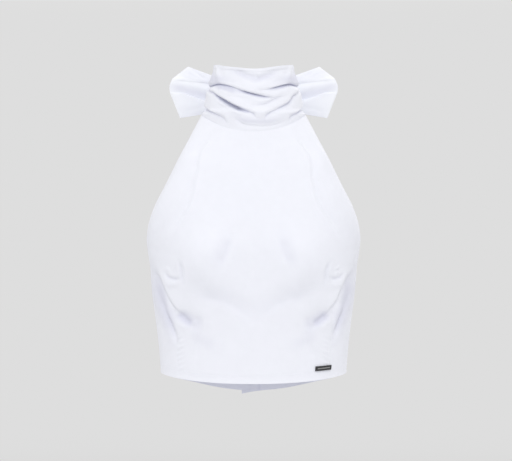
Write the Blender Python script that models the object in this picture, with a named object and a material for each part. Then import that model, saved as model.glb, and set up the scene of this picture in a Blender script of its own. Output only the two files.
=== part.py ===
"""Sleeveless halter blouse: a front panel, two low back panels, a draped collar and a bow behind the neck."""

from collections import namedtuple
from math import cos, pi, radians, sin

import bmesh
import bpy
import numpy as np

for old in list(bpy.data.objects):
    bpy.data.objects.remove(old, do_unlink=True)

MM = 0.001

# Sizes in mm. The origin is on the neck axis, +Z is up and the front faces -Y.
CLOTH_WALL = 1.2
COLLAR_WALL = 1.9
SEAM_GAP = 0.3
SECTION_POWER = 2.3
NECK_POWER = 2.0

# Body outline. Rows run from the hem up to the neck corner at the side edge of the front panel.
Side = namedtuple("Side", "height half_width edge_forward")
SIDE_ROWS = (
    Side(-383.0, 130.5, 0.0),
    Side(-358.0, 132.5, 0.0),
    Side(-324.0, 136.0, 0.0),
    Side(-290.0, 140.3, 0.0),
    Side(-256.0, 143.8, 0.0),
    Side(-231.0, 146.0, 0.0),
    Side(-212.0, 149.0, 0.0),
    Side(-197.0, 150.2, 3.0),
    Side(-180.0, 148.0, 13.0),
    Side(-155.0, 140.0, 27.0),
    Side(-121.0, 122.6, 38.0),
    Side(-87.0, 105.8, 38.0),
    Side(-54.0, 89.0, 25.0),
    Side(-28.0, 76.3, 6.0),
    Side(-21.2, 73.0, 0.0),
)
UNDERARM = -212.0
NECK_CORNER = -21.2
SIDE_HEM = -383.0

Depth = namedtuple("Depth", "height front back")
DEPTH_ROWS = (
    Depth(-424.0, 95.0, 99.0),
    Depth(-393.0, 95.0, 98.0),
    Depth(-350.0, 96.0, 96.0),
    Depth(-300.0, 98.5, 93.0),
    Depth(-260.0, 101.0, 91.0),
    Depth(-215.0, 102.0, 88.0),
    Depth(-180.0, 98.0, 85.0),
    Depth(-140.0, 90.0, 82.0),
    Depth(-100.0, 80.5, 79.0),
    Depth(-70.0, 72.5, 76.0),
    Depth(-47.0, 66.5, 74.0),
)
FRONT_HEM = -393.6
FRONT_NECK = -47.0
BACK_NECK = 3.0
LEVEL_POWER = 1.7

# Gentle fullness of the front.
BUST_SIDE = 70.0
BUST_HEIGHT = -228.0
BUST_OUT = 11.0
BUST_WIDE = 36.0
BUST_HIGH = 44.0

# Waist dart on each side of the front, with the dimple at its point.
DART_ANGLE = 51.5
DART_TOP = -286.0
DART_IN = 1.8
DART_WIDE = 3.4
DIMPLE_ANGLE = 54.0
DIMPLE_HEIGHT = -243.0
DIMPLE_IN = 3.2
DIMPLE_WIDE = 11.0
DIMPLE_HIGH = 15.0

# Back hem. Angles run from the centre back to the side seam.
BackHem = namedtuple("BackHem", "angle height")
BACK_HEM_ROWS = (
    BackHem(-12.0, -420.5),
    BackHem(0.0, -417.5),
    BackHem(15.0, -413.5),
    BackHem(42.0, -401.5),
    BackHem(62.0, -394.0),
    BackHem(90.0, -383.0),
)
BACK_TOP_DIP = 9.0
INNER_EDGE = 6.6
OUTER_EDGE = -17.4
OVERLAP_LIFT = 1.7
OVERLAP_EASE = 34.0

FRONT_COLUMN_STEP = 7.5
FRONT_LEVELS = 30
BACK_COLUMNS = 15
BACK_LEVELS = 13

# Collar folds. Each row gives the height of the top edge and of four creases at one angle.
Drape = namedtuple("Drape", "angle top roll second swag lower")
DRAPE_ROWS = (
    Drape(-90, 49.0, 27.5, 21.0, 14.6, -12.7),
    Drape(-64, 47.6, 26.0, 19.6, 10.0, -17.0),
    Drape(-45, 44.8, 24.0, 18.4, 2.5, -22.6),
    Drape(-34, 43.6, 21.6, 15.8, -5.0, -27.5),
    Drape(-24, 42.2, 19.0, 12.4, -12.5, -31.0),
    Drape(-15, 41.2, 16.8, 9.6, -18.0, -33.0),
    Drape(-7, 40.4, 15.0, 7.0, -21.2, -36.2),
    Drape(2, 40.0, 13.6, 4.4, -23.6, -37.2),
    Drape(11, 40.6, 13.0, 1.9, -24.6, -38.0),
    Drape(19, 41.8, 13.5, 0.2, -19.6, -35.4),
    Drape(30, 43.5, 16.2, 1.2, -14.6, -31.6),
    Drape(43, 45.3, 19.0, 5.0, -5.6, -26.6),
    Drape(58, 47.0, 20.6, 13.2, 5.5, -18.6),
    Drape(72, 48.2, 21.2, 16.4, 11.0, -14.8),
    Drape(90, 49.0, 21.5, 18.0, 14.0, -12.7),
    Drape(135, 46.0, 27.0, 21.5, 15.5, 2.0),
    Drape(180, 41.0, 33.0, 26.0, 19.0, 11.0),
    Drape(225, 46.0, 30.0, 22.5, 15.5, 2.0),
    Drape(270, 49.0, 27.5, 21.0, 14.6, -12.7),
)

# How far each crease is tucked in, round the neck.
Tuck = namedtuple("Tuck", "angle roll second swag lower")
TUCK_ROWS = (
    Tuck(-90, 0.0, 4.4, 0.6, 4.0),
    Tuck(-64, 0.0, 5.0, 2.2, 3.8),
    Tuck(-45, 0.0, 4.8, 6.8, 2.6),
    Tuck(-34, 0.0, 4.0, 7.6, 1.8),
    Tuck(-24, 0.0, 3.2, 7.6, 0.5),
    Tuck(-15, 0.0, 3.6, 6.2, 1.4),
    Tuck(-7, 0.0, 4.2, 3.4, 2.4),
    Tuck(2, 0.2, 4.2, 0.6, 2.2),
    Tuck(11, 1.6, 3.8, 1.4, 2.4),
    Tuck(19, 2.8, 2.4, 2.6, 1.8),
    Tuck(30, 3.6, 0.2, 2.8, 1.0),
    Tuck(43, 4.2, 0.0, 3.4, 2.4),
    Tuck(58, 4.4, 0.0, 3.0, 3.4),
    Tuck(72, 4.4, 0.0, 2.6, 3.8),
    Tuck(90, 4.2, 0.0, 1.4, 4.0),
    Tuck(135, 2.2, 1.6, 2.0, 2.0),
    Tuck(180, 2.2, 2.0, 2.2, 1.8),
    Tuck(225, 1.4, 2.2, 2.0, 2.0),
    Tuck(270, 0.0, 4.4, 0.6, 4.0),
)
ROLL_STEPS = (0.0, 0.3, 0.62, 0.84)
COLLAR_COLUMNS = 56

Neck = namedtuple("Neck", "height half_width front back")
NECK_ROWS = (
    Neck(-47.0, 73.0, 66.5, 65.0),
    Neck(-21.2, 73.0, 66.5, 65.0),
    Neck(-13.0, 67.5, 64.0, 64.0),
    Neck(6.0, 67.5, 62.0, 63.0),
    Neck(15.0, 65.0, 61.0, 62.0),
    Neck(24.0, 60.5, 59.0, 61.0),
    Neck(40.0, 57.0, 56.5, 60.0),
    Neck(49.0, 56.0, 56.0, 60.0),
)

# Bow behind the neck. Rows run across the ribbon from its lower edge to its upper edge.
Loop = namedtuple("Loop", "across reach height at_knot forward")
LOOP_ROWS = (
    Loop(0.0, 106.4, -21.6, -6.5, 1.5),
    Loop(0.20, 112.6, -6.5, -0.8, 2.4),
    Loop(0.40, 118.5, 8.0, 4.8, 2.6),
    Loop(0.486, 120.9, 14.6, 7.5, -3.2),
    Loop(0.56, 121.9, 20.4, 10.0, -2.0),
    Loop(0.636, 121.5, 25.9, 12.5, -0.4),
    Loop(0.763, 117.6, 35.2, 16.5, 2.4),
    Loop(1.0, 94.9, 52.7, 23.0, -1.0),
)
LOOP_MID = 74.2
LOOP_HALF_THICK = 9.5
LOOP_PINCH = 0.3
LOOP_START = 15.2
LOOP_COLUMNS = 24
LOOP_LEVELS = 12

KNOT_CENTRE = (0.0, 74.2, 8.5)
KNOT_HALF = (14.6, 10.8, 17.5)
KNOT_POWER = 2.6

TAIL_TOP = -9.4
TAIL_LENGTH = 158.0
TAIL_TOP_HALF = 5.6
TAIL_END_HALF = 30.0
TAIL_TOP_SIDE = 6.4
TAIL_END_SIDE = 37.0
TAIL_DEPTH = 75.3
TAIL_BACK_SWING = 9.0
TAIL_RIPPLE = 3.0

BUTTON_RADIUS = 5.5
BUTTON_THICK = 2.2
BUTTON_RIM = 0.8
BUTTON_SIDE = -5.6
BUTTON_TOP = -236.0
BUTTON_STEP = 46.0
BUTTON_COUNT = 4

PLATE_SIDE = 96.2
PLATE_HEIGHT = -373.3
PLATE_LONG = 26.6
PLATE_HIGH = 6.3
PLATE_THICK = 1.3
PLATE_TILT = -3.1


def between(rows, key, column, at):
    """Smooth value of one column of a table at one or more places."""
    xs = np.array([getattr(row, key) for row in rows], float)
    ys = np.array([getattr(row, column) for row in rows], float)
    at = np.clip(np.asarray(at, float), xs[0], xs[-1])
    run = np.diff(xs)
    slope = np.diff(ys) / run
    ease = np.zeros(len(xs))
    ease[0], ease[-1] = slope[0], slope[-1]
    same = slope[:-1] * slope[1:] > 0
    total = slope[:-1] + slope[1:]
    ease[1:-1] = np.where(same, 2 * slope[:-1] * slope[1:] / np.where(same, total, 1.0), 0.0)
    i = np.clip(np.searchsorted(xs, at, side="right") - 1, 0, len(run) - 1)
    t = (at - xs[i]) / run[i]
    rise = (2 * t**3 - 3 * t**2 + 1) * ys[i] + (3 * t**2 - 2 * t**3) * ys[i + 1]
    return rise + run[i] * ((t**3 - 2 * t**2 + t) * ease[i] + (t**3 - t**2) * ease[i + 1])


def bump(offset, width):
    return np.exp(-((offset / width) ** 2))


def make_material(name, colour, metallic, roughness):
    material = bpy.data.materials.new(name)
    material.use_nodes = True
    shader = material.node_tree.nodes["Principled BSDF"]
    shader.inputs["Base Color"].default_value = (*colour, 1.0)
    shader.inputs["Metallic"].default_value = metallic
    shader.inputs["Roughness"].default_value = roughness
    material.diffuse_color = (*colour, 1.0)
    return material


def add_solid(name, points, faces, material):
    mesh = bpy.data.meshes.new(name)
    mesh.from_pydata([tuple(MM * c for c in point) for point in points], [], faces)
    work = bmesh.new()
    work.from_mesh(mesh)
    bmesh.ops.recalc_face_normals(work, faces=work.faces)
    if work.calc_volume(signed=True) < 0:
        bmesh.ops.reverse_faces(work, faces=work.faces)
    work.to_mesh(mesh)
    work.free()
    mesh.materials.append(material)
    solid = bpy.data.objects.new(name, mesh)
    bpy.context.scene.collection.objects.link(solid)
    return solid


def normals_of(grid, ring):
    """Unit normals of a grid of points. A ring joins its last column to its first."""
    if ring:
        along = np.roll(grid, -1, axis=1) - np.roll(grid, 1, axis=1)
    else:
        along = np.gradient(grid, axis=1)
    up = np.gradient(grid, axis=0)
    normal = np.cross(along, up)
    return normal / np.linalg.norm(normal, axis=2, keepdims=True)


def add_wall(name, outer, inner, material, ring=False):
    """A closed wall between two grids of points of the same shape."""
    rows, columns = outer.shape[:2]
    points = np.concatenate([outer.reshape(-1, 3), inner.reshape(-1, 3)])
    second = rows * columns
    faces = []

    def at(row, column):
        return row * columns + column % columns

    spans = columns if ring else columns - 1
    for row in range(rows - 1):
        for column in range(spans):
            quad = (at(row, column), at(row, column + 1), at(row + 1, column + 1), at(row + 1, column))
            faces.append(quad)
            faces.append(tuple(second + corner for corner in reversed(quad)))
    for column in range(spans):
        low = (at(0, column), at(0, column + 1))
        high = (at(rows - 1, column), at(rows - 1, column + 1))
        faces.append((low[1], low[0], second + low[0], second + low[1]))
        faces.append((high[0], high[1], second + high[1], second + high[0]))
    if not ring:
        for row in range(rows - 1):
            first = (at(row, 0), at(row + 1, 0))
            last = (at(row, columns - 1), at(row + 1, columns - 1))
            faces.append((first[0], first[1], second + first[1], second + first[0]))
            faces.append((last[1], last[0], second + last[0], second + last[1]))
    return add_solid(name, points, faces, material)


def section(angle, power=SECTION_POWER):
    """Sideways and forward share of a rounded section, with 0 degrees at its middle."""
    turn = np.radians(np.asarray(angle, float))
    side = np.sign(np.sin(turn)) * np.abs(np.sin(turn)) ** (2 / power)
    out = np.abs(np.cos(turn)) ** (2 / power)
    return side, out


def seam_height(angle):
    """Height of the neck seam, low at the front and high at the back."""
    turn = np.radians(angle)
    middle = np.where(np.cos(turn) > 0, FRONT_NECK, BACK_NECK)
    return NECK_CORNER + (middle - NECK_CORNER) * np.abs(np.cos(turn)) ** LEVEL_POWER


def front_point(angle, level, lift=0.0, folded=True):
    """Point of the front panel: level 0 is the hem and 1 the neck seam."""
    angle = np.asarray(angle, float)
    side_height = SIDE_HEM + (NECK_CORNER - SEAM_GAP - SIDE_HEM) * level
    middle_height = FRONT_HEM + (FRONT_NECK - SEAM_GAP - FRONT_HEM) * level
    fall = np.abs(np.cos(np.radians(angle))) ** LEVEL_POWER
    height = side_height + (middle_height - side_height) * fall
    half_width = between(SIDE_ROWS, "height", "half_width", side_height)
    edge = between(SIDE_ROWS, "height", "edge_forward", side_height) + SEAM_GAP / 2
    depth = between(DEPTH_ROWS, "height", "front", middle_height)
    power = SECTION_POWER + (NECK_POWER - SECTION_POWER) * level**3
    side, out = section(angle, power)
    x = half_width * side
    y = -edge - (depth - edge) * out
    bust = bump(np.abs(x) - BUST_SIDE, BUST_WIDE) * bump(height - BUST_HEIGHT, BUST_HIGH)
    push = BUST_OUT * bust * out + lift
    if folded:
        below = np.clip((DART_TOP - height) / 18.0, 0.0, 1.0)
        dart_span = half_width * radians(1.0) * (np.abs(angle) - DART_ANGLE)
        push = push - DART_IN * below * bump(dart_span, DART_WIDE)
        dimple_span = half_width * radians(1.0) * (np.abs(angle) - DIMPLE_ANGLE)
        dimple = bump(dimple_span, DIMPLE_WIDE) * bump(height - DIMPLE_HEIGHT, DIMPLE_HIGH)
        push = push - DIMPLE_IN * dimple
    turn = np.radians(angle)
    x = x + push * np.sin(turn)
    y = y - push * np.cos(turn)
    return np.stack(np.broadcast_arrays(x, y, height), axis=-1)


def add_front(material):
    angles = list(np.arange(-90.0, 90.1, FRONT_COLUMN_STEP))
    for side in (-1, 1):
        for step in (-1.9, 1.9):
            angles.append(side * (DART_ANGLE + step))
        angles.remove(side * 52.5)
        angles.append(side * DART_ANGLE)
    angles = np.array(sorted(angles))
    levels = np.linspace(0.0, 1.0, FRONT_LEVELS)
    outer = np.array([front_point(angles, level) for level in levels])
    inner = outer - CLOTH_WALL * normals_of(outer, ring=False)
    return add_wall("front", outer, inner, material)


def back_point(angle, level, lift):
    """Point of a back panel: angle 0 is the centre back and 90 the side seam."""
    angle = np.asarray(angle, float)
    low = between(BACK_HEM_ROWS, "angle", "height", angle)
    dip = BACK_TOP_DIP * np.cos(np.radians(angle)) ** 2
    high = UNDERARM - dip
    height = low + (high - low) * level
    side_height = SIDE_HEM + (UNDERARM - SIDE_HEM) * level
    half_width = between(SIDE_ROWS, "height", "half_width", side_height)
    depth = between(DEPTH_ROWS, "height", "back", height)
    side, out = section(angle)
    x = half_width * side
    y = SEAM_GAP / 2 + (depth - SEAM_GAP / 2) * out + lift
    return np.stack([x, y, height], axis=-1)


def back_angle(distance, level):
    """Angle at which a back panel reaches a distance from the centre line."""
    side_height = SIDE_HEM + (UNDERARM - SIDE_HEM) * level
    half_width = between(SIDE_ROWS, "height", "half_width", side_height)
    share = np.abs(distance / half_width) ** (SECTION_POWER / 2)
    return np.sign(distance) * np.degrees(np.arcsin(share))


def overlap_lift(x):
    return OVERLAP_LIFT * np.clip((INNER_EDGE + OVERLAP_EASE - x) / OVERLAP_EASE, 0.0, 1.0)


def add_back(name, mirror, edge, material):
    """One back panel. The one whose edge crosses the centre lies on top of the other."""
    on_top = edge < 0
    outer = []
    for level in np.linspace(0.0, 1.0, BACK_LEVELS):
        start = back_angle(edge, level)
        angles = start + (90.0 - start) * np.linspace(0.0, 1.0, BACK_COLUMNS) ** 1.12
        row = back_point(angles, level, 0.0)
        if on_top:
            row[:, 1] += overlap_lift(row[:, 0])
        outer.append(row)
    outer = np.array(outer)
    inner = outer + CLOTH_WALL * normals_of(outer, ring=False)
    for grid in (outer, inner):
        grid[..., 0] *= mirror
    return add_wall(name, outer, inner, material)


def neck_point(angle, height, push):
    turn = np.radians(angle)
    half_width = between(NECK_ROWS, "height", "half_width", height)
    front = between(NECK_ROWS, "height", "front", height)
    back = between(NECK_ROWS, "height", "back", height)
    depth = np.where(np.cos(turn) > 0, front, back)
    x = half_width * np.sin(turn) + push * np.sin(turn)
    y = -depth * np.cos(turn) - push * np.cos(turn)
    return np.stack(np.broadcast_arrays(x, y, height), axis=-1)


def add_collar(material):
    """A draped band: each roll swells out towards its lower edge and tucks in under it."""
    angles = np.linspace(-90.0, 270.0, COLLAR_COLUMNS, endpoint=False)
    names = ("top", "roll", "second", "swag", "lower")
    heights = [between(DRAPE_ROWS, "angle", name, angles) for name in names]
    heights.append(seam_height(angles))
    flat = 0 * angles
    tucks = [flat] + [between(TUCK_ROWS, "angle", name, angles) for name in names[1:]] + [flat]
    last = len(names)
    outer = []
    for roll in range(last):
        for step in ROLL_STEPS:
            height = heights[roll] + (heights[roll + 1] - heights[roll]) * step
            push = -0.5 * tucks[roll] * (1 - step) ** 2 + 0.5 * tucks[roll + 1] * step**1.5
            outer.append(neck_point(angles, height, push))
    outer.append(neck_point(angles, heights[last], 0.0))
    outer = np.array(outer)[::-1]
    turn = np.radians(angles)
    radial = np.stack([np.sin(turn), -np.cos(turn), 0 * turn], axis=-1)
    inner = outer - COLLAR_WALL * radial
    return add_wall("collar", outer, inner, material, ring=True)


def add_loop(name, mirror, material):
    """A ribbon that runs out from the knot, turns round and comes back behind itself."""
    turns = np.linspace(0.0, pi, LOOP_COLUMNS)
    outer = []
    for across in np.linspace(0.0, 1.0, LOOP_LEVELS):
        reach, tip, root, forward = (
            between(LOOP_ROWS, "across", column, across) for column in ("reach", "height", "at_knot", "forward")
        )
        out = np.sin(turns)
        x = LOOP_START + (reach - LOOP_START) * out
        thick = LOOP_HALF_THICK * (LOOP_PINCH + (1 - LOOP_PINCH) * out)
        swell = forward * np.sqrt(out)
        y = LOOP_MID - (thick + swell) * np.cos(turns)
        z = root + (tip - root) * out
        outer.append(np.stack([x, y, z], axis=-1))
    outer = np.array(outer)
    inner = outer - CLOTH_WALL * normals_of(outer, ring=False)
    for grid in (outer, inner):
        grid[..., 0] *= mirror
    return add_wall(name, outer, inner, material)


def add_knot(material):
    """A soft rounded knot, a little squarer than an egg."""
    around, up = 20, 11
    points = [(0.0, 0.0, -1.0)]
    power = 2 / KNOT_POWER
    for row in range(1, up):
        tilt = -pi / 2 + pi * row / up
        ring = abs(cos(tilt)) ** power
        high = abs(sin(tilt)) ** power * (1 if tilt > 0 else -1)
        for column in range(around):
            turn = 2 * pi * column / around
            side = abs(cos(turn)) ** power * (1 if cos(turn) > 0 else -1)
            deep = abs(sin(turn)) ** power * (1 if sin(turn) > 0 else -1)
            points.append((ring * side, ring * deep, high))
    points.append((0.0, 0.0, 1.0))
    points = [tuple(c + h * p for c, h, p in zip(KNOT_CENTRE, KNOT_HALF, point)) for point in points]
    faces = []
    top = len(points) - 1
    for column in range(around):
        beside = (column + 1) % around
        faces.append((0, 1 + beside, 1 + column))
        faces.append((top, top - around + column, top - around + beside))
        for row in range(up - 2):
            low = 1 + row * around
            high = low + around
            faces.append((low + column, low + beside, high + beside, high + column))
    return add_solid("bow_knot", points, faces, material)


def add_tail(name, mirror, material):
    """A hanging ribbon end that widens and waves a little on its way down."""
    outer = []
    for down in np.linspace(1.0, 0.0, 14):
        middle = TAIL_TOP_SIDE + (TAIL_END_SIDE - TAIL_TOP_SIDE) * down
        half = TAIL_TOP_HALF + (TAIL_END_HALF - TAIL_TOP_HALF) * down
        across = np.linspace(-1.0, 1.0, 9)
        ripple = TAIL_RIPPLE * np.sin(across * pi) * down
        y = TAIL_DEPTH + TAIL_BACK_SWING * down + ripple
        z = TAIL_TOP - TAIL_LENGTH * down + 0 * across
        outer.append(np.stack([middle + half * across, y, z], axis=-1))
    outer = np.array(outer)
    inner = outer - CLOTH_WALL * normals_of(outer, ring=False)
    for grid in (outer, inner):
        grid[..., 0] *= mirror
    return add_wall(name, outer, inner, material)


def add_button(number, material):
    height = BUTTON_TOP - BUTTON_STEP * (number - 1)
    depth = between(DEPTH_ROWS, "height", "back", height) + OVERLAP_LIFT + SEAM_GAP
    profile = (
        (BUTTON_RADIUS - 0.5, 0.0),
        (BUTTON_RADIUS, 0.5),
        (BUTTON_RADIUS, BUTTON_THICK - 0.4),
        (BUTTON_RADIUS - 0.5, BUTTON_THICK),
        (BUTTON_RADIUS - 1.3, BUTTON_THICK),
        (BUTTON_RADIUS - 1.8, BUTTON_THICK - BUTTON_RIM),
    )
    around = 20
    points = []
    for radius, out in profile:
        for step in range(around):
            turn = 2 * pi * step / around
            points.append((BUTTON_SIDE + radius * cos(turn), depth + out, height + radius * sin(turn)))
    faces = [tuple(range(around)), tuple(range(len(points) - around, len(points)))]
    for ring in range(len(profile) - 1):
        for step in range(around):
            a, b = ring * around + step, ring * around + (step + 1) % around
            faces.append((a, b, b + around, a + around))
    return add_solid(f"button_{number}", points, faces, material)


def place_on_front(side, height):
    """Angle and level of the front panel nearest to a place seen from the front."""
    angle, level = 30.0, 0.1
    for _ in range(40):
        point = front_point(angle, level, folded=False)
        angle += 0.35 * (side - point[0])
        level += 0.002 * (height - point[2])
    return angle, level


def add_plate(material):
    """A small bar that follows the front panel, made from its points moved out."""
    angle, level = place_on_front(PLATE_SIDE, PLATE_HEIGHT)
    step = 0.5
    across = (front_point(angle + step, level, folded=False) - front_point(angle - step, level, folded=False)) / (2 * step)
    degrees_per_mm = 1 / np.linalg.norm(across)
    level_per_mm = 1 / (FRONT_NECK - FRONT_HEM)
    tilt = radians(PLATE_TILT)
    grids = []
    for lift in (SEAM_GAP + PLATE_THICK, SEAM_GAP):
        rows = []
        for v in np.linspace(-0.5, 0.5, 3) * PLATE_HIGH:
            row = []
            for u in np.linspace(-0.5, 0.5, 9) * PLATE_LONG:
                along = u * cos(tilt) - v * sin(tilt)
                up = u * sin(tilt) + v * cos(tilt)
                row.append(front_point(angle + along * degrees_per_mm, level + up * level_per_mm, lift, False))
            rows.append(row)
        grids.append(np.array(rows))
    return add_wall("plate", grids[0], grids[1], material)


def main():
    cotton = make_material("cotton", (0.86, 0.87, 0.93), 0.0, 0.85)
    gunmetal = make_material("gunmetal", (0.12, 0.12, 0.13), 0.9, 0.4)
    resin = make_material("white_resin", (0.88, 0.88, 0.9), 0.0, 0.35)
    add_front(cotton)
    add_back("back_left", -1, INNER_EDGE, cotton)
    add_back("back_right", 1, OUTER_EDGE, cotton)
    add_collar(cotton)
    for side_name, mirror in (("left", -1), ("right", 1)):
        add_loop(f"bow_loop_{side_name}", mirror, cotton)
        add_tail(f"bow_tail_{side_name}", mirror, cotton)
    add_knot(cotton)
    for number in range(1, BUTTON_COUNT + 1):
        add_button(number, resin)
    add_plate(gunmetal)


main()
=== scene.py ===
"""The look of the halter blouse: cloth with its drape and creases, seams, stitches, light and camera."""

from collections import namedtuple
from math import pi, radians

import bmesh
import bpy
import numpy as np
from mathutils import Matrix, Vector


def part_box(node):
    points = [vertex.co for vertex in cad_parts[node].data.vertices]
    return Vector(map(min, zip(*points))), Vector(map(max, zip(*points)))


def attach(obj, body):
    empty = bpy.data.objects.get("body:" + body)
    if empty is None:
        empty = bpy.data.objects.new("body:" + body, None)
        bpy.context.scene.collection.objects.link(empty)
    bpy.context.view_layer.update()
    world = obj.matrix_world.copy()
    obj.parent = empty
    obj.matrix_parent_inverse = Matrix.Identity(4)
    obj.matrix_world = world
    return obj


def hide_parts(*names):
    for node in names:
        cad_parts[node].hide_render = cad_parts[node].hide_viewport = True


# One mm in metres, and one metre in mm.
MM = 0.001
METRE = 1000

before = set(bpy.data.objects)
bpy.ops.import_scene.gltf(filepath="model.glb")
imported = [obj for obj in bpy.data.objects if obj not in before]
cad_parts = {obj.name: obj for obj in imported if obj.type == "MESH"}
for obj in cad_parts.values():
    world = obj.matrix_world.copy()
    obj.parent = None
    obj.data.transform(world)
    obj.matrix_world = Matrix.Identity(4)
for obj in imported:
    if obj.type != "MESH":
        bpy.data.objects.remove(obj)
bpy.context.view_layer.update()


def rows_of(kind, *rows):
    return [kind(*row) for row in rows]


# Sewing, in mm. A stitch is its length and the gap after it.
THREAD_RADIUS = 0.2
THREAD_SIDES = 6
STITCH = (2.6, 0.8)
BAR_STITCH = (2.3, 0.2)
HOLE_STITCH = (0.9, 0.1)
BUTTON_HOLLOW = 0.8
BAR_HALF = 1.3
BAR_ASIDE = 0.9
HOLE_HALF = 7.6
HOLE_ASIDE = 0.7
HEM_ROW = 7
PLACKET_ROW = 50
PLACKET_SEWN = (3, 22)

# The line on the plate.
LINE_LONG = 21
LINE_HIGH = 1.3
LINE_OUT = 0.12
LINE_THICK = 0.3
LINE_COLUMNS = 24

# Camera, set from the photograph's framing, with its place in metres.
CAMERA_PLACE = (0.0034, -3, -0.184)
CAMERA_LENS = 149.6
SENSOR_WIDTH = 36
CLIP_END = 20

# Rows and columns of the cloth pieces' grids.
FRONT_GRID = (205, 215)
BACK_GRID = (110, 120)
LOOP_GRID = (104, 170)
KNOT_GRID = (60, 96)
TAIL_GRID = (90, 40)

# Soft unevenness of the cloth: the height and the length of a wave, in mm.
FRONT_WAVES = ((0.5, 23), (0.22, 9))
BACK_WAVES = ((0.9, 21), (0.3, 8))
COLLAR_WAVES = ((0.3, 12), (0.1, 5))
LOOP_WAVE = (0.35, 13)

# Grey of the surroundings from straight down (0) to straight up (1), and the lights in metres and watts.
WORLD_STOPS = ((0, 0.2), (0.37, 0.36), (0.45, 0.73), (0.55, 0.73), (0.63, 0.95), (1, 1.1))
LIGHT_COLOUR = (1, 0.99, 0.95)
LIGHTS = (
    ("key", (-0.3, -4.3, 2.8), 0.9, 59),
    ("fill", (0.5, -3.8, -0.4), 2.4, 6),
    ("left", (-3, -1.4, 0.7), 1.6, 8),
    ("right", (3, -1.4, 0.7), 1.6, 8),
    ("back", (1.5, 2.6, 1.7), 0.8, 20),
)
LIGHTS_AIM = (0, 0, -0.18)
SKY_FROM = 0.6
FLOOR_RADIUS = 2.6
FLOOR_HEIGHT = -0.95

# Body sizes in mm, as the solids have them, and the thickness of the dressed cloth.
SECTION_POWER = 2.3
NECK_POWER = 2
LEVEL_POWER = 1.7
SEAM_GAP = 0.3

CLOTH_THICK = 1.1

# Cotton's colour where it lies flat; on the bow, painted lighter to make up for the shade it lies in; and the
# painted shade colour for hollows and insides.
COTTON_COLOUR = (0.782, 0.799, 0.89)
BOW_PAINTED_LIGHTER_COLOUR = (0.88, 0.9, 0.975)
PAINTED_SHADE_COLOUR = (0.64, 0.652, 0.77)
COTTON_FINISH = {"Roughness": 0.88, "Specular IOR Level": 0.22, "Sheen Weight": 0.12, "Sheen Roughness": 0.6}
WEAVE_SCALE = 620
SLUB_SCALE = 85

# Plain surfaces: colour, metallic share, roughness and the scale of their fine finish.
PLAIN = {
    "button_resin": ((0.85, 0.86, 0.88), 0, 0.35, 400),
    "gunmetal": ((0.06, 0.06, 0.065), 0.85, 0.38, 600),
    "thread": ((0.8, 0.81, 0.88), 0, 0.7, 900),
    "brushed_metal": ((0.3, 0.3, 0.31), 0.8, 0.42, 700),
    "floor_paint": ((0.7, 0.7, 0.7), 0, 0.8, 30),
}
FINISH_SPREAD = 0.07

# The body's half width by height, and how far forward the armhole's edge lies there.
Side = namedtuple("Side", "height half_width edge_forward")
SIDE_ROWS = rows_of(
    Side,
    (-383, 130.5, 0), (-358, 132.5, 0), (-324, 136, 0), (-290, 140.3, 0), (-256, 143.8, 0), (-231, 146, 0),
    (-212, 149, 0), (-197, 150.2, 3), (-180, 148, 13), (-155, 140, 27), (-121, 122.6, 38), (-87, 105.8, 38),
    (-54, 89, 25), (-28, 76.3, 6), (-21.2, 73, 0),
)
UNDERARM = -212
NECK_CORNER = -21.2
SIDE_HEM = -383

# The body's depth by height, in front of and behind the side seams.
Depth = namedtuple("Depth", "height front back")
DEPTH_ROWS = rows_of(
    Depth,
    (-424, 95, 99), (-393, 95, 98), (-350, 96, 96), (-300, 98.5, 93), (-260, 101, 91), (-215, 102, 88),
    (-180, 98, 85), (-140, 90, 82), (-100, 80.5, 79), (-70, 72.5, 76), (-47, 66.5, 74),
)
FRONT_HEM = -393.6
FRONT_NECK = -47
BACK_NECK = 3

# The fullness of the front: its place, how far it stands out and its spread.
BUST_SIDE = 70
BUST_HEIGHT = -228
BUST_OUT = 11
BUST_WIDE = 36
BUST_HIGH = 44

BackHem = namedtuple("BackHem", "angle height")
BACK_HEM_ROWS = rows_of(
    BackHem,
    (-12, -420.5), (0, -417.5), (15, -413.5), (42, -401.5), (62, -394), (90, -383),
)
BACK_TOP_DIP = 9

# The back's centre edges, underneath and on top, how the top one lifts and hangs, the painted shade on the
# inside and the painted shadow line along the underlap's edge.
INNER_EDGE = 6.6
OUTER_EDGE = -17.4
OVERLAP_LIFT = 1.7
OVERLAP_EASE = 34
CORNER_DROP = 2.8
CORNER_START = 20
INNER_PAINTED_SHADE = 0.5
UNDERLAP_PAINTED_SHADOW = 0.8
UNDERLAP_SIDE = 7.6
UNDERLAP_WIDE = 1.4

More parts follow.
